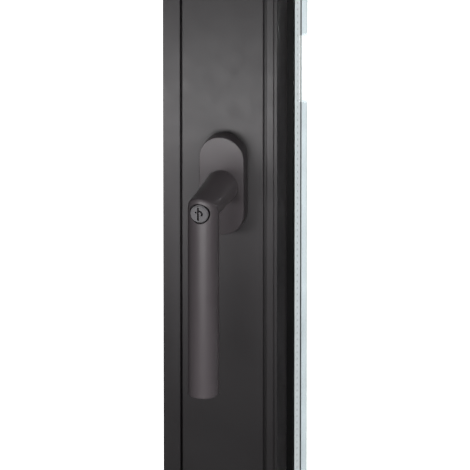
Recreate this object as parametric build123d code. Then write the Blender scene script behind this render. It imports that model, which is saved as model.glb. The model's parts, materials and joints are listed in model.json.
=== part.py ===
from build123d import *
from math import acos, cos, pi, radians, sin, tan
import os

# Tilt-and-turn window sash in thermally broken aluminium, with its lockable handle.
# Millimetres. X runs from the handle side to the hinge side, Y from the room to the outside, Z up.
# Sections are drawn as (u, y): u is the distance in from the sash's outer edge, y the depth.

# ---- overall
sash_width = 640.0
sash_height = 940.0

# ---- room-side shell, across its width
rim_width = 12.4            # stepped-back outer rim
rim_recess = 3.0
seam_width = 2.3            # shadow seam between rim and main face
seam_depth = 7.0
face_width = 58.0           # flat main face
joint_width = 1.9           # joint between main face and bead
lip_length = 4.2            # lip of the main face over the bead's foot
lip_thickness = 2.2
wall = 2.0
edge_radius = 0.6
flange_depth = 9.5          # overlap flange, room face to its back
flange_reach = 22.0         # how far the flange overlaps the fixed frame
channel_depth = 4.5         # rod channel under the faceplate
channel_wall = 1.5          # between the flange and the channel
channel_width = 13.5
back_wall = 3.5             # between the channel and the shell's back

# ---- glazing
bead_band = 5.4
bead_groove = 1.2
bead_groove_depth = 1.0
bead_nose = 1.6
bead_depth = 23.5
bead_wall = 1.6
bead_foot = 1.8
gasket_depth = 4.0
gasket_lip = 4.2            # over the glass, in front
outer_gasket_lip = 1.8
gasket_slope = 1.3          # depth over which the lip runs out
gasket_foot = 2.5           # from the glass edge to the gasket's foot
pane_thickness = 4.0
cavity_depth = 14.0
glass_clearance = 5.0       # glass edge to rebate, filled by the setting blocks
seal_height = 5.5
spacer_height = 7.5
spacer_wall = 0.6
butyl_thickness = 0.4       # seal between a spacer and each pane
block_length = 100.0
block_inset = 90.0

# ---- outer shell
break_depth = 22.0          # thermal break between the two shells
break_thickness = 2.5
outer_edge = 26.0
outer_wall = 2.0
upstand_thickness = 4.0

# ---- seals on the sash
seal_bulb = 2.1
seal_foot = (5.0, 1.2)      # width and thickness
seal_centre_u = 6.0
centre_seal_from_shell = (10.0, 4.0)
centre_seal_thickness = 2.0

# ---- corner cleats
cleat_arm = 38.0
cleat_clearance = 0.5
cleat_hole = 4.0

# ---- handle set
handle_height = sash_height / 2
handle_u = 45.7             # spindle axis from the outer edge
rosette_width = 32.0
rosette_height = 72.0
rosette_depth = 9.5
rosette_wall = 1.5
rosette_edge = 0.8
plate_depth = 7.5
plate_gap = 0.2
tube_diameter = 21.5        # neck and grip
neck_flare = 1.6            # how much wider the neck is at the rosette
neck_reach = 43.0           # rosette face to grip axis
grip_length = 137.0         # neck axis to the end of the grip
grip_end_radius = 0.8
collar_diameter = 18.0
collar_end = 1.0
neck_gap = 0.3
running_gap = 0.05          # radial, for what turns in what
spindle_square = 7.0
spindle_gap = 0.05
spindle_start = 33.0        # depth of the spindle's front end in front of the sash
spindle_end_gap = 0.4       # from its back end to the gearbox's back
spindle_chamfer = 0.5
ring_depth = 1.0
ring_reach = 1.6
ring_y = -2.1
ring_thickness = 0.8
ring_opening = 6.0
screw_spacing = 43.0        # rosette screws, centre to centre
screw_shank = 4.8
screw_head = 9.2
screw_slot = (6.0, 1.0)     # length and width of its cross recess
slot_depth = 1.2
boss_diameter = 10.0
hole_gap = 0.2
ball_diameter = 3.6
ball_gap = 0.15             # ball to collar
dimple_reach = 0.35         # how far a dimple goes into the collar
detent_inset = 2.2          # from the plate's front
spring_room = 3.6
spring_coil = (1.2, 0.35)   # mean radius and wire radius
spring_turns = 4
spring_pitch = 0.65

# ---- handle lock
lock_diameter = 14.5
lock_front_diameter = 13.3  # leaves a groove round the lock's face
lock_groove_depth = 4.6
lock_chamfer = 0.4
lock_sunk = 0.3             # face of the lock below the crown of the grip
lock_length = 25.5
plug_diameter = 11.3
plug_length = 24.9
plug_proud = 0.2
keyway_width = 1.1
keyway_height = 9.4
keyway_depth = 9.0
keyway_offset = -0.8
post_groove = (1.5, 2.6)    # radii of the groove round the keyway's post
key_dot = (-2.3, 0.9, 0.65) # place and radius of the small key hole
bolt_diameter = 3.6
bolt_offset = 7.0
bolt_travel = 2.5
bolt_stop_gap = 0.3

# ---- gearbox
gear_teeth = 12
quarter_travel = 18.0       # rod travel for a quarter turn of the handle
pressure_angle = 25.0
gear_addendum = 1.7
gear_dedendum = 2.2
backlash = 0.2
gear_hub = 14.0
gear_wall_gap = 3.2         # gear's faces to the case's faces
flank_steps = 5
case_gap = 0.3              # case to channel
case_wall = 1.3
rack_end = 10.0             # rack beyond its working length
rack_body = 3.04            # rack behind its teeth
rack_room = 2.0             # rack's back to the case's front
link_height = 12.0
screw_boss = 8.8

# ---- rods, faceplates and cams
plate_thickness = 2.5
plate_overhang = (1.2, 0.7) # faceplate beyond the channel, front and back
rod_side_gap = (1.0, 1.5)   # rod to channel, front and back
rod_u = (22.4, 25.0)
rivet_radius = 2.5
cam_socket = (2.3, 1.6)     # hexagon's radius and depth
slot_gap = 0.4              # cam stem to slot
corner_leg = 100.0          # end of the corner drive, from the sash's corner
piece_gap = 0.4
cam_inset = 220.0
cam_stem = 8.0
cam_head = 12.0
cam_head_thickness = 2.5
cam_reach = 10.0            # from the faceplate to the top of the head
top_cam_inset = 78.0        # from the end of the top faceplate
top_rod_reach = (60.0, 64.0)  # rod before and after its cam
small_screw = 3.8
small_head = 7.0
small_length = 14.0
small_room = 0.1
socket_depth = 0.9

# ---- stay arm and hinges
barrel_out = 12.0           # barrel axis beside the sash
barrel_front = 8.0          # barrel axis in front of the sash
barrel_radius = 7.0
barrel_bore = 4.0
barrel_length = 28.0
cap_wall = 1.2
arm_length = 330.0          # stay pivot to barrel axis
arm_thickness = 2.6
arm_inset = (5.6, -0.2)     # arm to the faceplate's front and back edges
arm_gap = 0.3
stay_pivot_radius = 2.8
pivot_proud = 0.8
guide_length = 290.0
guide_inset = 51.6          # guide's end to the hinge side
leaf_z = (20.0, 120.0)
leaf_arm_z = 44.0
side_gap = 4.0              # hinge arms beside the sash's edge

# ---- worked-out places
W = sash_width
H = sash_height
face_start = rim_width + seam_width
face_end = face_start + face_width
rebate_u = face_end - lip_length
bead_start = face_end + joint_width
bead_end = bead_start + bead_band + bead_groove + bead_nose
glass_front = bead_depth + gasket_depth
glass_back = glass_front + 3 * pane_thickness + 2 * cavity_depth
glass_u = rebate_u + glass_clearance
spacer_u = glass_u + seal_height
channel_y = (flange_depth + channel_wall, flange_depth + channel_wall + channel_width)
shell_depth = channel_y[1] + back_wall
outer_start = shell_depth + break_depth
outer_back = glass_back + gasket_depth + upstand_thickness
centre_seal_y = tuple(outer_start - inset for inset in centre_seal_from_shell)
tube_radius = tube_diameter / 2
grip_y = -rosette_depth - neck_reach
neck_end = -rosette_depth - neck_gap
plate_u = flange_reach - plate_thickness
faceplate_y = (channel_y[0] - plate_overhang[0], channel_y[1] + plate_overhang[1])
mid_y = (faceplate_y[0] + faceplate_y[1]) / 2
rod_y = (channel_y[0] + rod_side_gap[0], channel_y[1] - rod_side_gap[1])
case_y = (channel_y[0] + case_gap, channel_y[1] - case_gap)
gear_y = (case_y[0] + gear_wall_gap, case_y[1] - gear_wall_gap)
arm_y = (faceplate_y[0] + arm_inset[0], faceplate_y[1] - arm_inset[1])
spindle_end = case_y[1] - spindle_end_gap
gear_radius = quarter_travel / (pi / 2)
rack_back = handle_u - gear_radius - gear_dedendum - rack_body
case_start = rack_back - rack_room
case_back = handle_u + gear_radius + gear_addendum + case_wall + 0.8
case_half_length = 2 * quarter_travel + rack_end + case_wall + 3.2
guide_end = W - guide_inset
guide_start = guide_end - guide_length
top_plate_end = guide_start - piece_gap
top_cam = top_plate_end - top_cam_inset
top_rod = (top_cam - top_rod_reach[0], top_cam + top_rod_reach[1])
hinge_x = W + barrel_out
hinge_y = -barrel_front
hinge_z = leaf_arm_z + (arm_thickness + barrel_length) / 2

SIDES = {
    "left": (Pos(0, 0, 0), H),
    "right": (Pos(W, 0, H) * Rot(0, 180, 0), H),
    "top": (Pos(0, 0, H) * Rot(0, 90, 0), W),
    "bottom": (Pos(W, 0, 0) * Rot(0, -90, 0), W),
}
ROW_FRAME = Pos(-hinge_x, -hinge_y, -hinge_z)


# ---- helpers
def block(x, y, z):
    """A box from its three (low, high) pairs."""
    return Pos(x[0], y[0], z[0]) * Box(
        x[1] - x[0], y[1] - y[0], z[1] - z[0], align=(Align.MIN, Align.MIN, Align.MIN)
    )


def section(*points):
    """A closed outline; a point's third value rounds that corner."""
    corners = [(p[0], p[1]) for p in points]
    radii = [p[2] if len(p) > 2 else 0 for p in points]
    return make_face(FilletPolyline(*corners, radius=radii, close=True))


def rectangle(u, y):
    """A plain rectangular outline from two (low, high) pairs."""
    return section((u[0], y[0]), (u[1], y[0]), (u[1], y[1]), (u[0], y[1]))


def member(shape, side):
    """One side of the sash: a section run along it and mitred at both corners."""
    place, length = SIDES[side]
    reach = bead_end + 10
    trapezoid = Polyline((0, 0), (reach, reach), (reach, length - reach), (0, length), close=True)
    wedge = slab(make_face(trapezoid), -1, outer_back + 1)
    return place * (extrude(shape, length) & wedge)


def slab(shape, y0, y1):
    """A sketch drawn in X and Z, as thick as from depth y0 to depth y1."""
    return Pos(0, y1, 0) * Rot(90, 0, 0) * extrude(shape, y1 - y0)


def rod(radius, x, z, y0, y1):
    """A round bar along Y."""
    return slab(Pos(x, z) * Circle(radius), y0, y1)


def post(radius, x, y, z0, z1):
    """A round bar along Z."""
    return Pos(x, y, z0) * Cylinder(radius, z1 - z0, align=(Align.CENTER, Align.CENTER, Align.MIN))


def pin(radius, y, t, u0, u1):
    """A round bar across the left edge, from u0 to u1."""
    return Pos(u0, y, t) * Rot(0, 90, 0) * Cylinder(
        radius, u1 - u0, align=(Align.CENTER, Align.CENTER, Align.MIN)
    )


def ring(u, y):
    """A rectangular ring that runs round the whole sash."""
    outer = block((u[0], W - u[0]), y, (u[0], H - u[0]))
    return outer - block((u[1], W - u[1]), (y[0] - 1, y[1] + 1), (u[1], H - u[1]))


def profile_ring(shape):
    """A section run round the whole sash as one piece."""
    pieces = [member(shape, side) for side in SIDES]
    return pieces[0] + pieces[1] + pieces[2] + pieces[3]


def countersunk(t, u0, radius=small_screw / 2, head=small_head / 2, length=small_length):
    """An edge screw at distance t along the left side, its head flush at u0."""
    cone = Pos(u0, mid_y, t) * Rot(0, 90, 0) * Cone(
        head, radius, head - radius, align=(Align.CENTER, Align.CENTER, Align.MIN)
    )
    socket = pin(radius * 0.6, mid_y, t, u0 - 1, u0 + socket_depth)
    return cone + pin(radius, mid_y, t, u0 + head - radius, u0 + length) - socket


def screw_room(t, u0):
    """The hole that an edge screw needs, countersink included."""
    head = small_head / 2 + small_room
    shank = small_screw / 2 + small_room
    cone = Pos(u0 - 0.01, mid_y, t) * Rot(0, 90, 0) * Cone(
        head, shank, head - shank, align=(Align.CENTER, Align.CENTER, Align.MIN)
    )
    return cone + pin(shank, mid_y, t, u0, u0 + small_length + 1)


def on_side(side, shape):
    """Puts a piece drawn on the left side onto the side named."""
    return SIDES[side][0] * shape


# ---- where edge screws go, as distances along each side
left_screws = [corner_leg + 8, H - corner_leg - 8]
corner_screws_left = [H - corner_leg + 12]
corner_screws_top = [corner_leg - 12]
top_screws = [corner_leg + 8, top_plate_end - 6]
guide_screws = [guide_start + 60, guide_start + 150, guide_end - 14]
leaf_screws = [H - leaf_z[1] + 12, H - (leaf_z[0] + leaf_z[1]) / 2, H - leaf_z[0] - 12]
side_screws = {
    "left": left_screws + corner_screws_left,
    "top": corner_screws_top + top_screws + guide_screws,
    "right": leaf_screws,
    "bottom": [],
}


# ---- sash profiles
def inner_section():
    """Room-side shell: stepped rim, seam, main face with its lip, rod channel, two chambers."""
    body = section(
        (0, rim_recess, edge_radius),
        (rim_width, rim_recess, edge_radius),
        (rim_width, seam_depth),
        (face_start, seam_depth),
        (face_start, 0, edge_radius),
        (face_end, 0, edge_radius),
        (face_end, lip_thickness, edge_radius),
        (rebate_u, lip_thickness),
        (rebate_u, shell_depth),
        (flange_reach, shell_depth),
        (flange_reach, channel_y[1]),
        (flange_reach + channel_depth, channel_y[1]),
        (flange_reach + channel_depth, channel_y[0]),
        (flange_reach, channel_y[0]),
        (flange_reach, flange_depth),
        (0, flange_depth, edge_radius),
    )
    chamber = section(
        (face_start + wall, wall),
        (rebate_u - wall, wall),
        (rebate_u - wall, shell_depth - wall),
        (flange_reach + channel_depth + wall, shell_depth - wall),
        (flange_reach + channel_depth + wall, channel_y[0] - wall),
        (face_start + wall, channel_y[0] - 2 * wall),
    )
    rim_chamber = rectangle((wall, rim_width - wall), (rim_recess + wall, flange_depth - wall))
    return body - chamber - rim_chamber


def outer_section():
    """Outside shell: a box with the upstand that holds the glass."""
    body = section(
        (outer_edge, outer_start),
        (rebate_u, outer_start),
        (rebate_u, outer_back - upstand_thickness),
        (bead_end, outer_back - upstand_thickness, edge_radius),
        (bead_end, outer_back, edge_radius),
        (outer_edge, outer_back, edge_radius),
    )
    chamber = rectangle(
        (outer_edge + outer_wall, rebate_u - outer_wall),
        (outer_start + outer_wall, outer_back - outer_wall),
    )
    return body - chamber


def inner_shell(side):
    shell = member(inner_section(), side)
    for t in side_screws[side]:
        shell -= on_side(side, screw_room(t, plate_u))
    return shell


def handle_stile():
    """The room-side shell of the handle stile, cut for the gearbox and the handle's screws."""
    shell = inner_shell("left")
    pocket = case_half_length + 1.5
    shell -= block(
        (flange_reach + 1, flange_reach + channel_depth + wall + 1),
        channel_y,
        (handle_height - pocket, handle_height + pocket),
    )
    shell -= rod(spindle_square, handle_u, handle_height, -1, wall + 1)
    for z in rosette_screw_heights():
        shell -= rod(boss_diameter / 2 + hole_gap, handle_u, z, -1, wall + 1)
    return shell


def thermal_break(side):
    """Two polyamide strips that join the inner and the outer shell."""
    outside = outer_edge + outer_wall
    return [
        member(rectangle((u, u + break_thickness), (shell_depth, outer_start)), side)
        for u in (outside, rebate_u - break_thickness)
    ]


def cleats(low_u, high_u, depths):
    """Four corner cleats that fill a chamber at the mitres."""
    low = low_u + cleat_clearance
    high = high_u - cleat_clearance
    y = (depths[0] + cleat_clearance, depths[1] - cleat_clearance)
    end = high + cleat_arm
    result = []
    for flip_x in (False, True):
        for flip_z in (False, True):
            upright = block((low, high), y, (low, end))
            flat = block((low, end), y, (low, high))
            cleat = upright + flat
            for hole in ((low + high) / 2, high + cleat_arm / 2):
                cleat -= rod(cleat_hole, (low + high) / 2, hole, y[0] - 1, y[1] + 1)
            cleat -= rod(cleat_hole, high + cleat_arm / 2, (low + high) / 2, y[0] - 1, y[1] + 1)
            if flip_x:
                cleat = Pos(W, 0, 0) * mirror(cleat, Plane.YZ)
            if flip_z:
                cleat = Pos(0, 0, H) * mirror(cleat, Plane.XY)
            result.append(cleat)
    return result


# ---- glazing
def bead_section():
    """Hollow glazing bead: front band, thin groove, nose, and two feet that reach the rebate."""
    groove_u = bead_start + bead_band
    body = section(
        (bead_start, 0, 1.2),
        (groove_u, 0, 0.3),
        (groove_u, bead_groove_depth),
        (groove_u + bead_groove, bead_groove_depth),
        (groove_u + bead_groove, 0, 0.3),
        (bead_end, 0, 0.7),
        (bead_end, bead_depth),
        (bead_start, bead_depth),
    )
    body -= rectangle(
        (bead_start + bead_wall, bead_end - bead_wall),
        (bead_groove_depth + bead_wall, bead_depth - bead_wall),
    )
    front_foot = lip_thickness + 0.3
    body += rectangle((rebate_u, bead_start + 0.5), (front_foot, front_foot + bead_foot))
    rear_foot = bead_depth - bead_wall - bead_foot
    body += rectangle((rebate_u, bead_start + 0.5), (rear_foot, rear_foot + bead_foot))
    return body


def inner_gasket():
    """Glazing gasket under the bead, with a sloped lip against the glass."""
    return profile_ring(section(
        (glass_u + gasket_foot, bead_depth),
        (bead_end, bead_depth, 0.2),
        (bead_end + gasket_lip, bead_depth + gasket_slope, 0.5),
        (bead_end + gasket_lip - 0.4, glass_front),
        (glass_u + gasket_foot, glass_front),
    ))


def outer_gasket():
    """The same gasket on the outside of the glass, turned round."""
    back = glass_back + gasket_depth
    return profile_ring(section(
        (glass_u + gasket_foot, glass_back),
        (bead_end + outer_gasket_lip - 0.4, glass_back),
        (bead_end + outer_gasket_lip, back - gasket_slope, 0.5),
        (bead_end, back, 0.2),
        (glass_u + gasket_foot, back),
    ))


def overlap_seal():
    """Bulb seal on the back of the overlap flange."""
    half, thickness = seal_foot[0] / 2, seal_foot[1]
    foot = rectangle((seal_centre_u - half, seal_centre_u + half), (flange_depth, flange_depth + thickness))
    bulb = Pos(seal_centre_u, flange_depth + thickness - 0.2 + seal_bulb) * Circle(seal_bulb)
    return profile_ring(foot + bulb)


def centre_seal():
    """Lip seal on the thermal break, which meets the fixed frame."""
    low, high = centre_seal_y
    back_u = outer_edge + outer_wall
    front_u = back_u - centre_seal_thickness
    tip_u = flange_reach - centre_seal_thickness
    return profile_ring(section(
        (back_u, low), (back_u, high), (front_u, high), (tip_u, high + 1.2, 0.4),
        (tip_u, high, 0.4), (front_u, low),
    ))


def pane(y0):
    return block((glass_u, W - glass_u), (y0, y0 + pane_thickness), (glass_u, H - glass_u))


def spacer_depths(y0):
    return (y0 + butyl_thickness, y0 + cavity_depth - butyl_thickness)


def spacer(y0):
    """Hollow spacer bar between two panes."""
    y = spacer_depths(y0)
    hollow = ring(
        (spacer_u + spacer_wall, spacer_u + spacer_height - spacer_wall),
        (y[0] + spacer_wall, y[1] - spacer_wall),
    )
    return ring((spacer_u, spacer_u + spacer_height), y) - hollow


def edge_seal(y0):
    """Sealant behind a spacer, with a thin butyl layer along both panes."""
    whole = ring((glass_u, spacer_u + spacer_height), (y0, y0 + cavity_depth))
    return whole - ring((spacer_u, spacer_u + spacer_height + 1), spacer_depths(y0))


def setting_blocks():
    """Plastic blocks that carry and centre the glass, two to a side."""
    result = []
    for side, (place, length) in SIDES.items():
        for start in (block_inset, length - block_inset - block_length):
            result.append(place * block(
                (rebate_u, glass_u), (glass_front + 1.5, glass_back - 1.5), (start, start + block_length)
            ))
    return result


# ---- handle set
def rosette_screw_heights():
    return (handle_height - screw_spacing / 2, handle_height + screw_spacing / 2)


def at_handle(shape):
    """Moves a sketch to the handle's axis."""
    return Pos(handle_u, handle_height) * shape


def rosette_cover():
    """Cap over the base plate, open at the back, with a hole for the handle's collar."""
    body = slab(at_handle(SlotOverall(rosette_height, rosette_width, rotation=90)), -rosette_depth, 0)
    front = body.faces().sort_by(Axis.Y)[0]
    body = fillet(front.edges(), rosette_edge)
    inside = SlotOverall(rosette_height - 2 * rosette_wall, rosette_width - 2 * rosette_wall, rotation=90)
    body -= slab(at_handle(inside), rosette_wall - rosette_depth, 1)
    hole = collar_diameter / 2 + neck_gap
    return body - rod(hole, handle_u, handle_height, -rosette_depth - 1, 0)


def base_plate():
    """Cast plate under the rosette cover: collar bearing, screw bosses, detent bores."""
    trim = 2 * (rosette_wall + plate_gap)
    shape = SlotOverall(rosette_height - trim, rosette_width - trim, rotation=90)
    body = slab(at_handle(shape), -plate_depth, 0)
    for z in rosette_screw_heights():
        body += rod(boss_diameter / 2, handle_u, z, -0.5, case_y[0])
        body -= rod(screw_shank / 2 + hole_gap, handle_u, z, -plate_depth - 1, case_y[0] + 1)
        body -= rod(screw_head / 2 + hole_gap, handle_u, z, -plate_depth - 1, 3 - plate_depth)
    body -= rod(collar_diameter / 2 + running_gap, handle_u, handle_height, -plate_depth - 1, 1)
    body -= rod(collar_diameter / 2 + 3, handle_u, handle_height, 4 - plate_depth, 1)
    detent = collar_diameter / 2 + running_gap
    bore_end = detent + ball_diameter + spring_room
    body -= post(ball_diameter / 2 + hole_gap, handle_u, detent_y(),
                 handle_height - bore_end, handle_height + bore_end)
    return body


def detent_y():
    return detent_inset - plate_depth


def detent_balls():
    """Two balls that click into the collar's dimples at each quarter turn."""
    reach = collar_diameter / 2 + ball_diameter / 2 + ball_gap
    return [Pos(handle_u, detent_y(), handle_height + side * reach) * Sphere(ball_diameter / 2)
            for side in (-1, 1)]


def detent_springs():
    """A coil spring behind each ball, modelled as a stack of rings."""
    start = collar_diameter / 2 + ball_diameter + 2 * ball_gap + spring_coil[1]
    coil = Torus(*spring_coil)
    result = []
    for side in (-1, 1):
        spring = None
        for turn in range(spring_turns):
            z = handle_height + side * (start + turn * spring_pitch)
            loop = Pos(handle_u, detent_y(), z) * coil
            spring = loop if spring is None else spring + loop
        result.append(spring)
    return result


def rosette_screws():
    """Countersunk screws from the base plate into the gearbox."""
    result = []
    for z in rosette_screw_heights():
        top = 0.3 - plate_depth
        shank_start = 3 - plate_depth
        screw = rod(screw_head / 2, handle_u, z, top, shank_start)
        screw += rod(screw_shank / 2, handle_u, z, shank_start, case_y[1] - 1)
        for length, width in (screw_slot, reversed(screw_slot)):
            screw -= block(
                (handle_u - length / 2, handle_u + length / 2),
                (top - 1, top + slot_depth),
                (z - width / 2, z + width / 2),
            )
        result.append(screw)
    return result


def half_space(side):
    """The half of space on one side of the handle's mitre: the grip's (MAX) or the neck's (MIN)."""
    size = 2 * (neck_reach + grip_length)
    corner = Pos(handle_u, grip_y, handle_height) * Rot(-45, 0, 0)
    return corner * Box(size, size, size, align=(Align.CENTER, Align.CENTER, side))


def neck():
    """Round neck, straight through the mitre and a little wider towards the rosette."""
    front = grip_y - tube_radius
    straight_end = grip_y + tube_radius
    base = (neck_end, tube_radius + neck_flare / 2)
    outline = Polyline((neck_end, 0), (front, 0), (front, tube_radius), (straight_end, tube_radius))
    outline += TangentArc((straight_end, tube_radius), base, tangent=(1, 0))
    outline += Line(base, (neck_end, 0))
    bar = revolve(make_face(outline), Axis.X)
    return Pos(handle_u, 0, handle_height) * Rot(0, 0, 90) * bar


def handle_body():
    """L-shaped handle: neck and grip of one round tube, mitred at the corner, with its collar."""
    grip = post(tube_radius, handle_u, grip_y, handle_height - grip_length, handle_height + tube_radius)
    end_edge = grip.edges().filter_by(GeomType.CIRCLE).sort_by(Axis.Z)[0]
    grip = fillet(end_edge, grip_end_radius)
    body = (neck() & half_space(Align.MIN)) + (grip & half_space(Align.MAX))
    body += rod(collar_diameter / 2, handle_u, handle_height, neck_end - 1, -collar_end)
    body -= rod(lock_diameter / 2, handle_u, handle_height, grip_y - tube_radius - 1, lock_back())
    body -= rod(bolt_diameter / 2 + running_gap, handle_u, handle_height + bolt_offset,
                lock_back() - 1, neck_end + 1)
    across = spindle_square / 2 + spindle_gap
    body -= block(
        (handle_u - across, handle_u + across),
        (-spindle_start - 0.5, 1),
        (handle_height - across, handle_height + across),
    )
    half_groove = ring_thickness / 2 + 0.1
    groove = rod(collar_diameter / 2 + 1, handle_u, handle_height, ring_y - half_groove, ring_y + half_groove)
    groove -= rod(collar_diameter / 2 - ring_depth, handle_u, handle_height, ring_y - 1, ring_y + 1)
    body -= groove
    reach = collar_diameter / 2 + ball_diameter / 2 - dimple_reach
    for quarter in range(4):
        angle = quarter * pi / 2
        body -= Pos(
            handle_u + reach * cos(angle), detent_y(), handle_height + reach * sin(angle)
        ) * Sphere(ball_diameter / 2)
    return body


def lock_face():
    return grip_y - tube_radius + lock_sunk


def lock_back():
    return lock_face() + lock_length


def lock_housing():
    """Steel sleeve pressed into the handle's corner, with the seat for the key plug."""
    body = rod(lock_front_diameter / 2, handle_u, handle_height, lock_face(), lock_back() - 0.2)
    front_edge = body.edges().filter_by(GeomType.CIRCLE).sort_by(Axis.Y)[0]
    body = chamfer(front_edge, lock_chamfer)
    groove_end = lock_face() + lock_groove_depth
    body += rod(lock_diameter / 2, handle_u, handle_height, groove_end, lock_back() - 0.2)
    body -= rod(plug_diameter / 2 + running_gap, handle_u, handle_height, lock_face() - 1, lock_back() + 1)
    return body


def key_plug():
    """Turning plug with a keyway, a groove round a post beside it and a small key hole."""
    front = lock_face() - plug_proud
    body = rod(plug_diameter / 2, handle_u, handle_height, front, front + plug_length)
    keyway_x = handle_u + keyway_offset
    body -= block(
        (keyway_x - keyway_width / 2, keyway_x + keyway_width / 2),
        (front - 1, front + keyway_depth),
        (handle_height - keyway_height / 2, handle_height + keyway_height / 2),
    )
    inner, outer = post_groove
    reach = Pos(outer / 2, outer / 3) * Rectangle(outer, 5 * outer / 3)
    groove = (Circle(outer) - Circle(inner)) & reach
    body -= slab(at_handle(groove), front - 1, front + keyway_depth)
    body -= slab(at_handle(Pos(*key_dot[:2]) * Circle(key_dot[2])), front - 1, front + keyway_depth)
    return body


def lock_bolt():
    """Round bolt inside the neck that blocks the handle when the key drives it forward."""
    start = lock_back() + bolt_stop_gap
    end = neck_end - bolt_stop_gap - bolt_travel
    return rod(bolt_diameter / 2, handle_u, handle_height + bolt_offset, start, end)


def spindle():
    """Square bar from the handle to the gearbox."""
    half = spindle_square / 2
    body = block(
        (handle_u - half, handle_u + half),
        (-spindle_start, spindle_end),
        (handle_height - half, handle_height + half),
    )
    return chamfer(body.edges().filter_by(Axis.Y), spindle_chamfer)


def retaining_ring():
    """Open spring ring that holds the collar in the base plate."""
    inner = collar_diameter / 2 - ring_depth
    half = ring_thickness / 2
    body = rod(collar_diameter / 2 + ring_reach, handle_u, handle_height, ring_y - half, ring_y + half)
    body -= rod(inner, handle_u, handle_height, ring_y - 1, ring_y + 1)
    return body - block(
        (handle_u - ring_opening / 2, handle_u + ring_opening / 2),
        (ring_y - 1, ring_y + 1),
        (handle_height - collar_diameter, handle_height),
    )


# ---- gearbox
def involute(angle):
    return tan(angle) - angle


def drive_pinion():
    """Gear on the spindle: involute teeth, a hub each side and a square bore."""
    base = gear_radius * cos(radians(pressure_angle))
    tip = gear_radius + gear_addendum
    root = gear_radius - gear_dedendum
    pitch = pi * 2 * gear_radius / gear_teeth
    half_tooth = (pitch / 2 - backlash) / (2 * gear_radius)
    offset = half_tooth + involute(radians(pressure_angle))
    radii = [base + (tip - base) * i / flank_steps for i in range(flank_steps + 1)]
    flank = [(r, offset - involute(acos(min(1.0, base / r)))) for r in radii]
    low = [(root, flank[0][1])] + flank
    tooth_points = [(r * cos(a), r * sin(a)) for r, a in low]
    tooth_points += [(r * cos(a), -r * sin(a)) for r, a in reversed(low)]
    tooth_points = [(root - 1, root * sin(flank[0][1]))] + tooth_points
    tooth_points += [(root - 1, -root * sin(flank[0][1]))]
    tooth = make_face(Polyline(*tooth_points, close=True))
    wheel = Circle(root)
    for i in range(gear_teeth):
        wheel += Rot(0, 0, 180 + (i + 0.5) * 360 / gear_teeth) * tooth
    body = slab(at_handle(wheel), *gear_y)
    body += rod(gear_hub / 2, handle_u, handle_height, case_y[0] + 0.2, case_y[1] - 0.2)
    across = spindle_square / 2 + spindle_gap
    return body - block(
        (handle_u - across, handle_u + across),
        (0, case_y[1] + 1),
        (handle_height - across, handle_height + across),
    )


def drive_rack():
    """Toothed bar beside the pinion, with the link that carries the drive rod."""
    pitch = 2 * pi * gear_radius / gear_teeth
    pitch_u = handle_u - gear_radius
    slope = tan(radians(pressure_angle))
    half = (pitch / 2 - backlash) / 2
    tip_half = half - gear_addendum * slope
    root_half = half + gear_dedendum * slope
    teeth_up = round(2 * quarter_travel / pitch) + 1
    bar = section(
        (rack_back, handle_height - rack_end),
        (pitch_u - gear_dedendum, handle_height - rack_end),
        (pitch_u - gear_dedendum, handle_height + 2 * quarter_travel + rack_end),
        (rack_back, handle_height + 2 * quarter_travel + rack_end),
    )
    for i in range(-1, teeth_up + 1):
        z = handle_height + i * pitch
        bar += section(
            (pitch_u - gear_dedendum - 0.2, z - root_half),
            (pitch_u - gear_dedendum, z - root_half),
            (pitch_u + gear_addendum, z - tip_half),
            (pitch_u + gear_addendum, z + tip_half),
            (pitch_u - gear_dedendum, z + root_half),
            (pitch_u - gear_dedendum - 0.2, z + root_half),
        )
    body = slab(bar, *gear_y)
    link_z = handle_height + quarter_travel
    return body + block(
        (rod_u[1], rack_back + 1), gear_y, (link_z - link_height / 2, link_z + link_height / 2)
    )


def gearbox_half(y0, y1, floor):
    """One half of the gearbox case; floor is the depth of its closed side."""
    z = (handle_height - case_half_length, handle_height + case_half_length)
    body = block((case_start, case_back), (y0, y1), z)
    inside_y = (y0 - 1, floor - case_wall) if floor == y1 else (floor + case_wall, y1 + 1)
    body -= block(
        (case_start + case_wall, case_back - case_wall),
        inside_y,
        (z[0] + case_wall, z[1] - case_wall),
    )
    for height in rosette_screw_heights():
        body += rod(screw_boss / 2, handle_u, height, y0, y1)
        body -= rod(screw_shank / 2, handle_u, height, y0 - 1, y1 + 1)
    travel = quarter_travel + link_height / 2 + 1
    body -= block(
        (case_start - 1, case_start + case_wall + 0.1),
        (gear_y[0] - 0.3, gear_y[1] + 0.3),
        (handle_height - travel, handle_height + travel),
    )
    return body - rod(gear_hub / 2 + running_gap, handle_u, handle_height, y0 - 1, y1 + 1)


def gearbox_middle():
    return (case_y[0] + case_y[1]) / 2


# ---- rods, faceplates and cams
def faceplate_left():
    low = corner_leg + piece_gap
    high = H - corner_leg - piece_gap
    plate = block((plate_u, flange_reach), faceplate_y, (low, high))
    for t in left_screws:
        plate -= screw_room(t, plate_u)
    for z in cam_heights():
        plate -= cam_slot(z - 2 * quarter_travel, z)
    return plate


def cam_heights():
    return (cam_inset, H - cam_inset)


def cam_slot(low, high):
    """Slot in a faceplate, with room for the cam's stem over its whole travel."""
    radius = cam_stem / 2 + slot_gap
    slot = block((plate_u - 1, flange_reach + 1), (mid_y - radius, mid_y + radius), (low, high))
    for end in (low, high):
        slot += pin(radius, mid_y, end, plate_u - 1, flange_reach + 1)
    return slot


def drive_rod():
    low = left_screws[0] + 2 * quarter_travel + 8
    high = H - corner_leg - 14
    bar = block(rod_u, rod_y, (low, high))
    for z in cam_heights():
        bar -= pin(rivet_radius, mid_y, z, rod_u[0] - 1, rod_u[1] + 1)
    return bar


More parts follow.
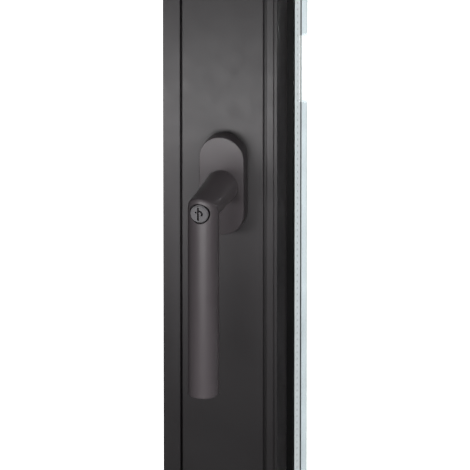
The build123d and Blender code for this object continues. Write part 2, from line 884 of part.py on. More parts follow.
def cam(t):
    """Mushroom cam riveted to a rod, with a hexagon socket in its head."""
    top = plate_u - cam_reach
    body = pin(cam_head / 2, mid_y, t, top, top + cam_head_thickness)
    body += pin(cam_stem / 2, mid_y, t, top + cam_head_thickness, rod_u[0])
    body += pin(rivet_radius, mid_y, t, rod_u[0], rod_u[1])
    radius, depth = cam_socket
    return body - Pos(top, mid_y, t) * Rot(0, 90, 0) * extrude(RegularPolygon(radius, 6), depth)


def faceplate_top():
    plate = block((plate_u, flange_reach), faceplate_y, (corner_leg + piece_gap, top_plate_end))
    for t in top_screws:
        plate -= screw_room(t, plate_u)
    plate -= cam_slot(top_cam - 2 * quarter_travel, top_cam)
    return on_side("top", plate)


def top_drive_rod():
    bar = block(rod_u, rod_y, top_rod)
    bar -= pin(rivet_radius, mid_y, top_cam, rod_u[0] - 1, rod_u[1] + 1)
    return on_side("top", bar)


def corner_drive():
    """Angle that carries the rods' flexible link round the corner."""
    upright = block((plate_u, flange_reach), faceplate_y, (H - corner_leg, H - plate_u))
    for t in corner_screws_left:
        upright -= screw_room(t, plate_u)
    flat = block((plate_u, flange_reach), faceplate_y, (plate_u, corner_leg))
    for t in corner_screws_top:
        flat -= screw_room(t, plate_u)
    return upright + on_side("top", flat)


def plate_screws():
    result = [countersunk(t, plate_u) for t in left_screws + corner_screws_left]
    result += [on_side("top", countersunk(t, plate_u)) for t in corner_screws_top + top_screws]
    return result


# ---- stay and hinges
def stay_guide():
    """Plate on the top rail with the pivot pin of the stay arm."""
    plate = block((plate_u, flange_reach), faceplate_y, (guide_start, guide_end))
    for t in guide_screws:
        plate -= screw_room(t, plate_u)
    pivot = pin(stay_pivot_radius, arm_mid_y(), stay_pivot_x(), arm_u()[0] - pivot_proud, plate_u)
    return on_side("top", plate + pivot)


def arm_mid_y():
    return (arm_y[0] + arm_y[1]) / 2


def arm_u():
    """The stay arm's faces, measured down from the sash's top."""
    return (plate_u - arm_gap - arm_thickness, plate_u - arm_gap)


def stay_pivot_x():
    return hinge_x - arm_length


def hinge_arm(x_start, z_low, rounded):
    """Flat arm that leaves the rebate beside the sash and comes forward to the barrel."""
    half = (arm_y[1] - arm_y[0]) / 2
    z = (z_low, z_low + arm_thickness)
    arm = block((x_start, hinge_x), arm_y, z)
    if rounded:
        arm += post(half, x_start, arm_mid_y(), *z)
    arm += block((W + side_gap, hinge_x + barrel_radius), (hinge_y, arm_y[1]), z)
    return arm + post(barrel_radius, hinge_x, hinge_y, *z)


def barrel(z_low, z_high):
    return post(barrel_radius, hinge_x, hinge_y, z_low, z_high)


def barrel_hole(z_low, z_high):
    return post(barrel_bore, hinge_x, hinge_y, z_low - 1, z_high + 1)


def stay_arm():
    """Arm that lets the sash's top lean into the room; its barrel is the upper hinge."""
    top, low = arm_u()
    z = (H - low, H - top)
    arm = hinge_arm(stay_pivot_x(), z[0], True)
    barrel_low = z[0] - barrel_length
    arm += barrel(barrel_low, z[1])
    arm -= barrel_hole(barrel_low, z[1])
    return arm - post(stay_pivot_radius + running_gap, stay_pivot_x(), arm_mid_y(), z[0] - 1, z[1] + 1)


def hinge_lower():
    """Lower hinge: leaf on the hinge stile's edge, arm and barrel."""
    leaf = block((W - flange_reach, W - plate_u), faceplate_y, leaf_z)
    for t in leaf_screws:
        leaf -= on_side("right", screw_room(t, plate_u))
    arm = hinge_arm(W - plate_u - 0.5, leaf_arm_z, False)
    barrel_z = (leaf_arm_z, leaf_arm_z + arm_thickness + barrel_length)
    return leaf + arm + barrel(*barrel_z) - barrel_hole(*barrel_z)


def hinge_cap(z_low, z_high):
    """Plastic sleeve over a barrel."""
    gap = 0.1
    body = post(barrel_radius + gap + cap_wall, hinge_x, hinge_y, z_low, z_high)
    body -= post(barrel_radius + gap, hinge_x, hinge_y, z_low - 1, z_high + 1)
    return body


def stay_screws():
    return [on_side("top", countersunk(t, plate_u)) for t in guide_screws]


def hinge_screws():
    return [on_side("right", countersunk(t, plate_u)) for t in leaf_screws]


# ---- all nodes
def build():
    nodes = {
        "stile_handle_inner": handle_stile(),
        "stile_hinge_inner": inner_shell("right"),
        "rail_top_inner": inner_shell("top"),
        "rail_bottom_inner": inner_shell("bottom"),
    }
    names = {"left": "stile_handle", "right": "stile_hinge", "top": "rail_top", "bottom": "rail_bottom"}
    for side, name in names.items():
        nodes[name + "_outer"] = member(outer_section(), side)
        nodes["thermal_break_" + side] = thermal_break(side)
        nodes["glazing_bead_" + side] = member(bead_section(), side)
    past_screws = plate_u + small_length + 1
    nodes["corner_cleats_inner"] = cleats(
        past_screws, rebate_u - wall, (channel_y[0] - wall, shell_depth - wall)
    )
    nodes["corner_cleats_outer"] = cleats(
        outer_edge + outer_wall, rebate_u - outer_wall, (outer_start + outer_wall, outer_back - outer_wall)
    )
    nodes["gasket_inner"] = inner_gasket()
    nodes["gasket_outer"] = outer_gasket()
    nodes["overlap_seal"] = overlap_seal()
    nodes["centre_seal"] = centre_seal()
    pitch = pane_thickness + cavity_depth
    for i, name in enumerate(("inner", "middle", "outer")):
        nodes["pane_" + name] = pane(glass_front + i * pitch)
    for i, name in enumerate(("inner", "outer")):
        nodes["spacer_" + name] = spacer(glass_front + pane_thickness + i * pitch)
    starts = (glass_front + pane_thickness, glass_front + 2 * pane_thickness + cavity_depth)
    nodes["edge_seals"] = [edge_seal(y) for y in starts]
    nodes["setting_blocks"] = setting_blocks()
    nodes["rosette_cover"] = rosette_cover()
    nodes["base_plate"] = base_plate()
    nodes["detent_balls"] = detent_balls()
    nodes["detent_springs"] = detent_springs()
    nodes["rosette_screws"] = rosette_screws()
    nodes["handle_body"] = handle_body()
    nodes["spindle"] = spindle()
    nodes["retaining_ring"] = retaining_ring()
    nodes["lock_housing"] = lock_housing()
    nodes["key_plug"] = key_plug()
    nodes["lock_bolt"] = lock_bolt()
    nodes["drive_pinion"] = drive_pinion()
    nodes["drive_rack"] = drive_rack()
    nodes["gearbox_cover"] = gearbox_half(case_y[0], gearbox_middle(), case_y[0])
    nodes["gearbox_case"] = gearbox_half(gearbox_middle(), case_y[1], case_y[1])
    nodes["faceplate_left"] = faceplate_left()
    nodes["faceplate_top"] = faceplate_top()
    nodes["plate_screws"] = plate_screws()
    nodes["drive_rod"] = drive_rod()
    nodes["locking_cams"] = [cam(z) for z in cam_heights()]
    nodes["top_drive_rod"] = top_drive_rod()
    nodes["top_cam"] = on_side("top", cam(top_cam))
    nodes["corner_drive"] = corner_drive()
    nodes["stay_guide"] = stay_guide()
    nodes["stay_screws"] = stay_screws()
    nodes["stay_arm"] = stay_arm()
    nodes["hinge_lower"] = hinge_lower()
    nodes["hinge_screws"] = hinge_screws()
    upper_top = H - arm_u()[1]
    lower_start = leaf_arm_z + arm_thickness
    nodes["hinge_cap_upper"] = hinge_cap(upper_top - barrel_length, upper_top - 0.2)
    nodes["hinge_cap_lower"] = hinge_cap(lower_start + 0.2, lower_start + barrel_length)
    return nodes


def write(nodes):
    os.makedirs("parts", exist_ok=True)
    for name, shape in nodes.items():
        solids = []
        for piece in shape if isinstance(shape, list) else [shape]:
            solids.extend((ROW_FRAME * piece).solids())
        export_step(Compound(solids), "parts/" + name + ".step")
    print(len(nodes), "nodes")


write(build())
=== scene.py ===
import json
import math

import bmesh
import bpy
from mathutils import Matrix, Vector


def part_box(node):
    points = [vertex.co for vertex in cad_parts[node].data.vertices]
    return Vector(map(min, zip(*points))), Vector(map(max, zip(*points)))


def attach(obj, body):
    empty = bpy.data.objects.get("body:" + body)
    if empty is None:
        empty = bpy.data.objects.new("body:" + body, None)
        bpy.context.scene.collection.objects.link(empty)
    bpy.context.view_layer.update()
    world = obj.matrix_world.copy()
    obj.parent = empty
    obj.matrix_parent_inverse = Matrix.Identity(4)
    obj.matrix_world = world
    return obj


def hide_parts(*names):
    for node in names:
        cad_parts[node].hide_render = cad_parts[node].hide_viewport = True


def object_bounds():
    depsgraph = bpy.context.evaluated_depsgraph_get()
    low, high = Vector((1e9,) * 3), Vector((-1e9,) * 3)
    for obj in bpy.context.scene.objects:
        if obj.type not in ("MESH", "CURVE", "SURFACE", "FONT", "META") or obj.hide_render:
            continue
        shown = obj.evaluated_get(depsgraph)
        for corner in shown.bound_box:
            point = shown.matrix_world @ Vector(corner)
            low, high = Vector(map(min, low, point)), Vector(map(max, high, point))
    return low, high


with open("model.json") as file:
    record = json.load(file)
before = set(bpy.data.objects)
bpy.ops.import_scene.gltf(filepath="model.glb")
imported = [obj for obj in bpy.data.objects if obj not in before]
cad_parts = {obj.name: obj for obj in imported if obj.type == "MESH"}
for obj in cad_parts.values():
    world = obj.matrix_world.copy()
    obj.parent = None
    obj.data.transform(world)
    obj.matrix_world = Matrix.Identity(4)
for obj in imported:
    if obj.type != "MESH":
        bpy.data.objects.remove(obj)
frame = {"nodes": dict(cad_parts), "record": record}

# Metres, in the frame of the CAD model. The room is on the -Y side, Z is up.
NODES = frame["nodes"]
CAD_LOW, CAD_HIGH = [list(corner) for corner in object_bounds()]
MM = 0.001


def centre(node):
    low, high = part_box(node)
    return (Vector(low) + Vector(high)) / 2


# ---------------------------------------------------------------- the picture
VIEW_AZIMUTH = 16.5         # degrees
VIEW_ELEVATION = 22.1
LENS = 1200.0               # millimetres, as is the sensor
SENSOR = 36.0
FRAME_WIDTH = 0.3226        # metres across the picture at the rosette
TARGET_RIGHT = 0.00933      # from the rosette's face to the middle of the picture
TARGET_DOWN = 0.03356

cover_low, cover_high = [Vector(corner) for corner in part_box("rosette_cover")]
rosette_face = Vector(((cover_low.x + cover_high.x) / 2, cover_low.y, (cover_low.z + cover_high.z) / 2))


def view_axes(azimuth, elevation):
    """Unit vectors to the right, up and back towards the camera."""
    a, e = math.radians(azimuth), math.radians(elevation)
    right = Vector((math.cos(a), math.sin(a), 0))
    up = Vector((-math.sin(a) * math.sin(e), math.cos(a) * math.sin(e), math.cos(e)))
    back = Vector((math.sin(a) * math.cos(e), -math.cos(a) * math.cos(e), math.sin(e)))
    return right, up, back


def make_camera():
    right, up, back = view_axes(VIEW_AZIMUTH, VIEW_ELEVATION)
    target = rosette_face + right * TARGET_RIGHT - up * TARGET_DOWN
    data = bpy.data.cameras.new("camera")
    data.lens = LENS
    data.sensor_width = SENSOR
    data.clip_start = 0.1
    data.clip_end = 200
    camera = bpy.data.objects.new("camera", data)
    bpy.context.scene.collection.objects.link(camera)
    camera.location = target + back * (FRAME_WIDTH * LENS / SENSOR)
    camera.rotation_mode = "QUATERNION"
    camera.rotation_quaternion = (-back).to_track_quat("-Z", "Y")
    bpy.context.scene.camera = camera


# ---------------------------------------------------------------- node helpers
NOISE_LOW, NOISE_HIGH = 0.3, 0.7        # the part of a noise's range that shows


class Graph:
    """A material's nodes, with short calls to add and link them."""

    def __init__(self, name):
        self.material = bpy.data.materials.new(name)
        self.material.use_nodes = True
        self.tree = self.material.node_tree
        self.tree.nodes.clear()
        self.output = self.tree.nodes.new("ShaderNodeOutputMaterial")
        self.place = self.add("ShaderNodeTexCoord").outputs["Object"]

    def add(self, kind, **settings):
        node = self.tree.nodes.new(kind)
        for key, value in settings.items():
            setattr(node, key, value)
        return node

    def link(self, source, target):
        self.tree.links.new(source, target)

    def noise(self, scale, detail=2.0, roughness=0.5, stretch=None):
        """Noise over the object's own place; stretch squeezes it along an axis."""
        node = self.add("ShaderNodeTexNoise")
        node.inputs["Scale"].default_value = scale
        node.inputs["Detail"].default_value = detail
        node.inputs["Roughness"].default_value = roughness
        source = self.place
        if stretch:
            mapping = self.add("ShaderNodeMapping")
            mapping.inputs["Scale"].default_value = stretch
            self.link(self.place, mapping.inputs["Vector"])
            source = mapping.outputs["Vector"]
        self.link(source, node.inputs["Vector"])
        return node.outputs["Fac"]

    def ramp(self, source, low, high):
        """Maps a factor of 0.3 to 0.7 onto two colours."""
        node = self.add("ShaderNodeValToRGB")
        node.color_ramp.elements[0].position = NOISE_LOW
        node.color_ramp.elements[1].position = NOISE_HIGH
        node.color_ramp.elements[0].color = (*low, 1)
        node.color_ramp.elements[1].color = (*high, 1)
        self.link(source, node.inputs["Fac"])
        return node.outputs["Color"]

    def spread(self, source, low, high):
        """Maps a factor of 0.3 to 0.7 onto a range of numbers."""
        node = self.add("ShaderNodeMapRange")
        node.inputs["From Min"].default_value = NOISE_LOW
        node.inputs["From Max"].default_value = NOISE_HIGH
        node.inputs["To Min"].default_value = low
        node.inputs["To Max"].default_value = high
        self.link(source, node.inputs["Value"])
        return node.outputs["Result"]

    def bump(self, height, strength, distance, normal=None):
        node = self.add("ShaderNodeBump")
        node.inputs["Strength"].default_value = strength
        node.inputs["Distance"].default_value = distance
        self.link(height, node.inputs["Height"])
        if normal is not None:
            self.link(normal, node.inputs["Normal"])
        return node.outputs["Normal"]

    def soft_edges(self, radius):
        node = self.add("ShaderNodeBevel", samples=4)
        node.inputs["Radius"].default_value = radius
        return node.outputs["Normal"]

    def surface(self, shader):
        self.link(shader, self.output.inputs["Surface"])


def principled(graph, **values):
    """A principled shader; an underscore in a value's name stands for a space."""
    node = graph.add("ShaderNodeBsdfPrincipled")
    for key, value in values.items():
        name = key.replace("_", " ")
        node.inputs[name].default_value = value
    return node


def between(colour, factor):
    return tuple(c * factor for c in colour)


# ---------------------------------------------------------------- materials
HOLE_PITCH = 4.8 * MM       # perforations of the spacer
HOLE_RADIUS = 0.75 * MM
HOLE_EDGE = 0.25            # share of the radius over which a hole's rim fades


def powder_coat(name, colour, roughness, grain=2600.0, depth=0.00004, variation=0.08, edge=0.0005):
    """Matt powder coat: fine orange-peel grain, slow changes of shade, slightly rubbed edges."""
    g = Graph(name)
    shader = principled(g, Roughness=roughness, Specular_IOR_Level=0.5)
    clouds = g.noise(14.0, 3.0)
    shade = g.ramp(clouds, between(colour, 1 - variation), between(colour, 1 + variation))
    g.link(shade, shader.inputs["Base Color"])
    fine = g.noise(grain, 2.0, 0.6)
    g.link(g.spread(g.noise(90.0, 4.0), roughness - 0.04, roughness + 0.05), shader.inputs["Roughness"])
    g.link(g.bump(fine, 0.25, depth, g.soft_edges(edge)), shader.inputs["Normal"])
    g.surface(shader.outputs["BSDF"])
    return g.material


def metal(name, colour, roughness, stretch=(1, 1, 30), scale=300.0):
    """Brushed or plated metal: streaks along one axis, in shade and in roughness."""
    g = Graph(name)
    shader = principled(g, Metallic=1.0, Roughness=roughness)
    streaks = g.noise(scale, 3.0, 0.6, stretch)
    g.link(g.ramp(streaks, between(colour, 0.9), between(colour, 1.1)), shader.inputs["Base Color"])
    g.link(g.spread(streaks, roughness - 0.06, roughness + 0.08), shader.inputs["Roughness"])
    g.link(g.bump(streaks, 0.2, 0.00002, g.soft_edges(0.0002)), shader.inputs["Normal"])
    g.surface(shader.outputs["BSDF"])
    return g.material


def cast_metal(name, colour, roughness):
    """Zinc casting: dull, finely pitted skin."""
    g = Graph(name)
    shader = principled(g, Metallic=1.0, Roughness=roughness)
    skin = g.noise(900.0, 4.0, 0.7)
    g.link(g.ramp(g.noise(60.0), between(colour, 0.85), between(colour, 1.1)), shader.inputs["Base Color"])
    g.link(g.spread(skin, roughness - 0.05, roughness + 0.15), shader.inputs["Roughness"])
    g.link(g.bump(skin, 0.4, 0.00008), shader.inputs["Normal"])
    g.surface(shader.outputs["BSDF"])
    return g.material


def rubber(name, colour, roughness):
    """Matt black rubber or sealant with a fine skin."""
    g = Graph(name)
    shader = principled(g, Roughness=roughness, Specular_IOR_Level=0.35)
    skin = g.noise(1500.0, 3.0, 0.7)
    g.link(g.ramp(g.noise(40.0), between(colour, 0.8), between(colour, 1.25)), shader.inputs["Base Color"])
    g.link(g.spread(skin, roughness - 0.08, roughness + 0.08), shader.inputs["Roughness"])
    g.link(g.bump(skin, 0.3, 0.00005, g.soft_edges(0.0003)), shader.inputs["Normal"])
    g.surface(shader.outputs["BSDF"])
    return g.material


def plastic(name, colour, roughness):
    """Moulded plastic with a slightly uneven skin."""
    g = Graph(name)
    shader = principled(g, Roughness=roughness)
    skin = g.noise(1200.0, 3.0)
    g.link(g.ramp(g.noise(30.0), between(colour, 0.92), between(colour, 1.06)), shader.inputs["Base Color"])
    g.link(g.spread(skin, roughness - 0.05, roughness + 0.05), shader.inputs["Roughness"])
    g.link(g.bump(skin, 0.2, 0.00003, g.soft_edges(0.0003)), shader.inputs["Normal"])
    g.surface(shader.outputs["BSDF"])
    return g.material


def clear_glass(name):
    """Clear float glass that lets lamps through, so that what is behind it is lit."""
    g = Graph(name)
    shader = principled(g, Roughness=0.0, IOR=1.5, Transmission_Weight=1.0)
    shader.inputs["Base Color"].default_value = (0.985, 0.995, 0.99, 1)
    g.link(g.bump(g.noise(3.0), 0.02, 0.0002), shader.inputs["Normal"])
    through = g.add("ShaderNodeBsdfTransparent")
    through.inputs["Color"].default_value = (0.96, 0.975, 0.97, 1)
    rays = g.add("ShaderNodeLightPath")
    mix = g.add("ShaderNodeMixShader")
    g.link(rays.outputs["Is Shadow Ray"], mix.inputs["Fac"])
    g.link(shader.outputs["BSDF"], mix.inputs[1])
    g.link(through.outputs["BSDF"], mix.inputs[2])
    g.surface(mix.outputs["Shader"])
    return g.material


def value_math(g, operation, source, number=None):
    node = g.add("ShaderNodeMath", operation=operation)
    if number is not None:
        node.inputs[1].default_value = number
    g.link(source, node.inputs[0])
    return node.outputs[0]


def hole_distance(g, along, across):
    """Distance from the nearest hole of a row, from the places along and across it."""
    gap = g.add("ShaderNodeCombineXYZ")
    g.link(value_math(g, "PINGPONG", along, HOLE_PITCH / 2), gap.inputs[0])
    g.link(across, gap.inputs[1])
    length = g.add("ShaderNodeVectorMath", operation="LENGTH")
    g.link(gap.outputs[0], length.inputs[0])
    return length.outputs["Value"]


def spacer_holes(g, depth):
    """0 inside the holes and 1 outside; upright bars count holes in Z, level ones in X."""
    place = g.add("ShaderNodeSeparateXYZ")
    g.link(g.place, place.inputs[0])
    across = value_math(g, "SUBTRACT", place.outputs["Y"], depth)
    geometry = g.add("ShaderNodeNewGeometry")
    normal = g.add("ShaderNodeSeparateXYZ")
    g.link(geometry.outputs["True Normal"], normal.inputs[0])
    pick = g.add("ShaderNodeMix", data_type="FLOAT")
    g.link(value_math(g, "ABSOLUTE", normal.outputs["X"]), pick.inputs["Factor"])
    g.link(hole_distance(g, place.outputs["X"], across), pick.inputs[2])
    g.link(hole_distance(g, place.outputs["Z"], across), pick.inputs[3])
    hole = g.add("ShaderNodeMapRange")
    hole.inputs["From Min"].default_value = HOLE_RADIUS * (1 - HOLE_EDGE)
    hole.inputs["From Max"].default_value = HOLE_RADIUS * (1 + HOLE_EDGE)
    g.link(pick.outputs[0], hole.inputs["Value"])
    return hole.outputs["Result"]


def spacer_finish(name, colour, node_name):
    """Pale satin spacer bar with its row of small perforations along the middle; the perforations are real,
    but their dark colour is painted shade inside the holes.
    """
    g = Graph(name)
    shader = principled(g, Roughness=0.5)
    holes = spacer_holes(g, centre(node_name).y)
    bar = g.ramp(g.noise(400.0, 3.0), between(colour, 0.95), between(colour, 1.05))
    hole_shade = g.add("ShaderNodeMix", data_type="RGBA")
    # painted shade: the holes are not cut, and their fill at 0.35 of the bar's colour stands for the shade
    # inside each hole
    hole_shade.inputs[6].default_value = (*between(colour, 0.35), 1)
    g.link(holes, hole_shade.inputs["Factor"])
    g.link(bar, hole_shade.inputs[7])
    g.link(hole_shade.outputs[2], shader.inputs["Base Color"])
    g.link(g.bump(holes, 0.4, 0.0003), shader.inputs["Normal"])
    g.surface(shader.outputs["BSDF"])
    return g.material


ANTHRACITE = (0.095, 0.089, 0.093)
UMBER_GREY = (0.093, 0.081, 0.087)

FINISHES = {
    "profile_inside": powder_coat("profile_coat", ANTHRACITE, 0.45),
    "profile_outside": powder_coat("outside_coat", ANTHRACITE, 0.5),
    "bead": powder_coat("bead_coat", ANTHRACITE, 0.42),
    "thermal_break": plastic("polyamide", (0.018, 0.018, 0.020), 0.55),
    "cleat": metal("mill_aluminium", (0.72, 0.73, 0.74), 0.35),
    "gasket": rubber("gasket_rubber", (0.010, 0.010, 0.011), 0.55),
    "glass": clear_glass("float_glass"),
    "spacer_inner": spacer_finish("spacer_grey", (0.60, 0.62, 0.64), "spacer_inner"),
    "spacer_outer": plastic("spacer_pale", (0.78, 0.82, 0.88), 0.5),
    "edge_seal": rubber("edge_sealant", (0.012, 0.012, 0.013), 0.6),
    "setting_block": plastic("block_plastic", (0.06, 0.17, 0.36), 0.45),
    "rosette": powder_coat("rosette_coat", UMBER_GREY, 0.33, variation=0.05),
    "handle": powder_coat("handle_coat", UMBER_GREY, 0.34, variation=0.05),
    "zinc_casting": cast_metal("zinc_casting", (0.50, 0.51, 0.52), 0.45),
    "bright_steel": metal("bright_steel", (0.62, 0.61, 0.60), 0.22),
    "zinc_plated_steel": metal("zinc_plate", (0.60, 0.61, 0.62), 0.32),
    "screw": metal("screw_zinc", (0.55, 0.56, 0.57), 0.3, scale=800.0, stretch=(1, 1, 1)),
    "cam": metal("cam_steel", (0.55, 0.55, 0.55), 0.28, scale=600.0, stretch=(1, 1, 1)),
    "lock_metal": metal("lock_satin", (0.14, 0.136, 0.142), 0.42, scale=700.0, stretch=(1, 1, 1)),
    "hinge": powder_coat("hinge_coat", ANTHRACITE, 0.45),
    "hinge_cap": plastic("cap_plastic", (0.075, 0.073, 0.075), 0.42),
}


def dress_cad():
    """Gives every CAD node the finish of its material slot."""
    for row in frame["record"]["subparts"]:
        node = NODES[row["node"]]
        for slot in node.material_slots:
            slot.material = FINISHES[row["material_slot"]]


# ---------------------------------------------------------------- handle
# The CAD handle has a sharp mitre; here its outer corner is rounded and its lock hole cut.
CORNER_RADIUS = 2.4 * MM
INNER_RADIUS = 0.5 * MM
END_RADIUS = 0.8 * MM
LOCK_RADIUS = 7.25 * MM
LOCK_DEPTH = 4.6 * MM
NECK_FLARE = 0.8 * MM
NECK_GAP = 0.3 * MM         # between the neck and the rosette cover
PLUG_PROUD = 0.2 * MM       # how far the key plug stands out of the lock's front
CUT_CLEARANCE = 2 * MM
COLLAR_RADIUS = 9.0 * MM
COLLAR_OVERLAP = 1 * MM
COLLAR_END_GAP = 1.0 * MM
ROUND = 128                 # steps round the tube
END_STEPS = 4
ARC_STEPS = 10
NECK_STEPS = 10
BAR_SIDES = 96
OUTER_SHARE = 0.9           # largest share of the height over the axis that a bend may take
INNER_SHARE = 0.5
SHARP_ANGLE = 35


def handle_paths(radius, neck_end, grip_end):
    """Rows of points round the tube, in the handle's own Y and Z with the corner at the origin.

    Every angle round the tube has its own path up the grip, over a rounded corner and along the
    neck, so that the rounding fades out where the two tubes meet smoothly.
    """
    paths = []
    for i in range(ROUND):
        angle = 2 * math.pi * i / ROUND
        x, height = radius * math.cos(angle), radius * math.sin(angle)
        if height > 0:
            bend = min(CORNER_RADIUS, height * OUTER_SHARE)
        else:
            bend = min(INNER_RADIUS, -height * INNER_SHARE)
        points = []
        for step in range(END_STEPS + 1):
            turn = math.pi / 2 * step / END_STEPS
            shrink = 1 - END_RADIUS * (1 - math.sin(turn)) / radius
            lift = END_RADIUS * (1 - math.cos(turn))
            points.append((x * shrink, -height * shrink, grip_end + lift))
        sign = 1 if height > 0 else -1
        centre_y, centre_z = -height + sign * bend, height - sign * bend
        for step in range(ARC_STEPS + 1):
            turn = math.pi / 2 * step / ARC_STEPS
            points.append((x, centre_y - sign * bend * math.cos(turn),
                           centre_z + sign * bend * math.sin(turn)))
        for step in range(NECK_STEPS + 1):
            along = step / NECK_STEPS
            grow = 1 + NECK_FLARE / radius * along ** 2
            points.append((x * grow, radius + (neck_end - radius) * along, height * grow))
        paths.append(points)
    return paths


def make_handle():
    """The handle's body in place of the CAD one, with its lock hole and its collar."""
    low, high = [Vector(corner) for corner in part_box("handle_body")]
    plug_low, plug_high = [Vector(corner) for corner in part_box("key_plug")]
    axis = Vector(((plug_low.x + plug_high.x) / 2, 0, (plug_low.z + plug_high.z) / 2))
    radius = min(high.z - axis.z, (high.x - low.x) / 2 - NECK_FLARE)
    corner = Vector((axis.x, low.y + radius, axis.z))
    cover_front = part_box("rosette_cover")[0][1]
    neck_end = cover_front - NECK_GAP - corner.y
    paths = handle_paths(radius, neck_end, low.z - corner.z)
    bm = bmesh.new()
    rings = [[bm.verts.new(corner + Vector(path[k])) for path in paths] for k in range(len(paths[0]))]
    for lower, upper in zip(rings, rings[1:]):
        for i in range(ROUND):
            j = (i + 1) % ROUND
            bm.faces.new((lower[i], lower[j], upper[j], upper[i]))
    bm.faces.new(rings[0])
    bm.faces.new(list(reversed(rings[-1])))
    bmesh.ops.recalc_face_normals(bm, faces=bm.faces)
    mesh = bpy.data.meshes.new("handle_shape")
    bm.to_mesh(mesh)
    bm.free()
    handle = bpy.data.objects.new("handle_shape", mesh)
    bpy.context.scene.collection.objects.link(handle)

    cutter = round_bar("lock_cutter", axis, LOCK_RADIUS, corner.y - radius - CUT_CLEARANCE,
                       plug_low.y + PLUG_PROUD + LOCK_DEPTH)
    sash_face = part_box("stile_handle_inner")[0][1]
    collar = round_bar("handle_collar", axis, COLLAR_RADIUS,
                       neck_end + corner.y - COLLAR_OVERLAP, sash_face - COLLAR_END_GAP)
    for name, other, operation in (("lock", cutter, "DIFFERENCE"), ("collar", collar, "UNION")):
        modifier = handle.modifiers.new(name, "BOOLEAN")
        modifier.operation = operation
        modifier.solver = "EXACT"
        modifier.object = other
    apply_modifiers(handle)
    for other in (cutter, collar):
        bpy.data.objects.remove(other)
    smooth(handle, SHARP_ANGLE)
    handle.data.materials.append(FINISHES["handle"])
    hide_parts("handle_body")
    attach(handle, "handle")
    return handle


def round_bar(name, axis, radius, y0, y1):
    """A round bar along Y from y0 to y1."""
    bm = bmesh.new()
    matrix = Matrix.Translation((axis.x, (y0 + y1) / 2, axis.z)) @ Matrix.Rotation(math.pi / 2, 4, "X")
    bmesh.ops.create_cone(bm, cap_ends=True, segments=BAR_SIDES, radius1=radius, radius2=radius,
                          depth=y1 - y0, matrix=matrix)
    mesh = bpy.data.meshes.new(name)
    bm.to_mesh(mesh)
    bm.free()
    bar = bpy.data.objects.new(name, mesh)
    bpy.context.scene.collection.objects.link(bar)
    return bar


def apply_modifiers(piece):
    depsgraph = bpy.context.evaluated_depsgraph_get()
    shaped = bpy.data.meshes.new_from_object(piece.evaluated_get(depsgraph))
    piece.modifiers.clear()
    piece.data = shaped


def smooth(piece, degrees):
    """Smooth shading, with sharp edges wherever two faces meet at more than this angle."""
    limit = math.radians(degrees)
    bm = bmesh.new()
    bm.from_mesh(piece.data)
    for face in bm.faces:
        face.smooth = True
    for edge in bm.edges:
        edge.smooth = len(edge.link_faces) == 2 and edge.calc_face_angle(0) < limit
    bm.to_mesh(piece.data)
    bm.free()


# ---------------------------------------------------------------- studio
AMBIENT = 0.012             # the sky's strength as a light
SKY_SEEN = 1.4              # and where the camera sees it
FLOOR_SEEN = 1.5
FLOOR_GREY = 0.3            # the floor's shade for the light that falls on it
FLOOR_HALF = 60.0
FLOOR_GAP = 0.0005
WHITE = (1, 1, 1, 1)

HANDLE_NODES = ("handle_body", "lock_housing", "key_plug")
GLAZING_NODES = ("spacer_inner", "spacer_outer")

STRIP_ABOVE = -0.006        # from the rosette's middle
STRIP_LEFT = 0.05
STRIP_AWAY = 0.165          # from the sash's face
STRIP_SIZE = (0.34, 0.05)
STRIP_POWER = 0.30

# Each lamp: its name, the group of pieces it lights, its place from the middle of what it aims
# at, its size and its power.
LAMPS = (
    ("wash", "sash", (-0.5, -2.2, -0.4), (1.2, 1.2), 2.8),
    ("handle_left", "handle", (-0.75, -1.3, 0.1), (0.25, 1.4), 1.4),
    ("handle_right", "handle", (1.55, -1.0, 0.1), (0.25, 1.4), 6.5),
    ("handle_front", "handle", (0.35, -1.7, -0.1), (1.8, 1.2), 30.0),
    ("glazing_side", "glazing", (0.8, -0.6, 0.3), (1.2, 2.4), 38.0),
    ("crown", "rims", (-0.1, -0.75, 1.1), (0.3, 0.08), 2.6),
    ("rim_right", "sash", (1.3, -1.35, -0.3), (0.1, 2.2), 8.5),
    ("outside_left", "outside", (-1.3, 2.2, 0.9), (0.9, 1.6), 55.0),
    ("outside_right", "outside", (1.6, 1.9, 0.3), (0.9, 1.6), 30.0),
    ("outside_top", "outside", (0.2, 0.3, 2.4), (1.6, 0.8), 40.0),
    ("outside_edge", "outside", (-2.4, 0.3, 0.2), (0.8, 1.6), 40.0),
)


def area_light(name, place, target, size, power, group):
    """A rectangular lamp that points at a target and lights only the pieces of one group."""
    data = bpy.data.lights.new(name, "AREA")
    data.shape = "RECTANGLE"
    data.size, data.size_y = size
    data.energy = power
    light = bpy.data.objects.new(name, data)
    bpy.context.scene.collection.objects.link(light)
    light.location = place
    light.rotation_mode = "QUATERNION"
    light.rotation_quaternion = (Vector(target) - Vector(place)).to_track_quat("-Z", "Y")
    light.light_linking.receiver_collection = group
    return light


def seen_directly(tree):
    """1 for the camera's own rays, also through glass, and 0 once a ray has left a surface."""
    rays = tree.nodes.new("ShaderNodeLightPath")
    bounces = tree.nodes.new("ShaderNodeMath")
    bounces.operation = "ADD"
    tree.links.new(rays.outputs["Diffuse Depth"], bounces.inputs[0])
    tree.links.new(rays.outputs["Glossy Depth"], bounces.inputs[1])
    direct = tree.nodes.new("ShaderNodeMath")
    direct.operation = "LESS_THAN"
    direct.inputs[1].default_value = 0.5
    tree.links.new(bounces.outputs[0], direct.inputs[0])
    return direct.outputs[0]


def background(tree, strength):
    node = tree.nodes.new("ShaderNodeBackground")
    node.inputs["Color"].default_value = WHITE
    node.inputs["Strength"].default_value = strength
    return node.outputs["Background"]


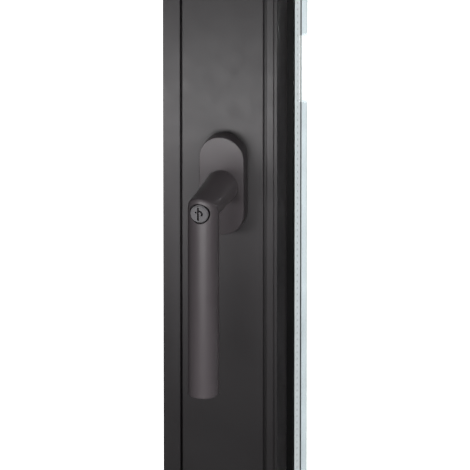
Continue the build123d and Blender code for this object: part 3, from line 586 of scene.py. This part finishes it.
def make_world():
    """White to look at, dim as a light, so that the sides of the dark profile stay dark."""
    world = bpy.data.worlds.new("world")
    bpy.context.scene.world = world
    world.use_nodes = True
    tree = world.node_tree
    tree.nodes.clear()
    out = tree.nodes.new("ShaderNodeOutputWorld")
    mix = tree.nodes.new("ShaderNodeMixShader")
    tree.links.new(seen_directly(tree), mix.inputs["Fac"])
    tree.links.new(background(tree, AMBIENT), mix.inputs[1])
    tree.links.new(background(tree, SKY_SEEN), mix.inputs[2])
    tree.links.new(mix.outputs["Shader"], out.inputs["Surface"])


def make_floor():
    """A plain pale floor, bright enough to read as white."""
    mesh = bpy.data.meshes.new("floor")
    middle = Vector(((CAD_LOW[0] + CAD_HIGH[0]) / 2, (CAD_LOW[1] + CAD_HIGH[1]) / 2,
                     CAD_LOW[2] - FLOOR_GAP))
    corners = [middle + Vector((x, y, 0)) * FLOOR_HALF for x, y in ((-1, -1), (1, -1), (1, 1), (-1, 1))]
    mesh.from_pydata(corners, [], [(0, 1, 2, 3)])
    floor = bpy.data.objects.new("floor", mesh)
    bpy.context.scene.collection.objects.link(floor)
    g = Graph("floor_white")
    glow = g.add("ShaderNodeEmission")
    glow.inputs["Color"].default_value = WHITE
    glow.inputs["Strength"].default_value = FLOOR_SEEN
    matt = g.add("ShaderNodeBsdfDiffuse")
    matt.inputs["Color"].default_value = (FLOOR_GREY, FLOOR_GREY, FLOOR_GREY, 1)
    mix = g.add("ShaderNodeMixShader")
    g.link(seen_directly(g.tree), mix.inputs["Fac"])
    g.link(matt.outputs["BSDF"], mix.inputs[1])
    g.link(glow.outputs["Emission"], mix.inputs[2])
    g.surface(mix.outputs["Shader"])
    mesh.materials.append(g.material)
    floor.visible_diffuse = False
    floor.visible_glossy = False


def receivers(name, nodes):
    """A collection of the objects that a light is meant for."""
    group = bpy.data.collections.new(name)
    for node in nodes:
        group.objects.link(node)
    return group


def on_room_side(name):
    return name.endswith("_inner") or name.startswith("glazing_bead") or name == "rosette_cover"


def lamp_groups(handle_shape):
    handle_parts = [handle_shape] + [NODES[name] for name in HANDLE_NODES]
    sash = [name for name in NODES if name not in HANDLE_NODES + GLAZING_NODES]
    return {
        "sash": receivers("lit_sash", [NODES[name] for name in sash]),
        "handle": receivers("lit_handle", handle_parts),
        "glazing": receivers("lit_glazing", [NODES[name] for name in GLAZING_NODES]),
        "rims": receivers("lit_rims", handle_parts + [NODES["rosette_cover"]]),
        "outside": receivers("lit_outside", [NODES[name] for name in sash if not on_room_side(name)]),
    }


def make_lights(handle_shape):
    """A strip close to the rosette, which shades the sash up and down, and the lamps above."""
    groups = lamp_groups(handle_shape)
    sash_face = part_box("stile_handle_inner")[0][1]
    height = rosette_face.z + STRIP_ABOVE
    area_light("strip", (rosette_face.x - STRIP_LEFT, sash_face - STRIP_AWAY, height),
               (rosette_face.x, sash_face, height), STRIP_SIZE, STRIP_POWER, groups["sash"])

    middles = {
        "sash": rosette_face,
        "rims": rosette_face,
        "handle": centre("handle_body"),
        "glazing": centre("spacer_inner"),
        "outside": centre("pane_outer"),
    }
    spacer_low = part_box("spacer_inner")[0]
    targets = {**middles, "glazing": Vector((spacer_low[0], spacer_low[1], rosette_face.z))}
    for name, group, place, size, power in LAMPS:
        light = area_light(name, middles[group] + Vector(place), targets[group], size, power, groups[group])
        light.visible_glossy = group not in ("glazing", "outside")
        light.visible_transmission = group != "outside"


dress_cad()
make_world()
make_floor()
make_lights(make_handle())
make_camera()
bpy.context.scene.view_settings.view_transform = "Standard"
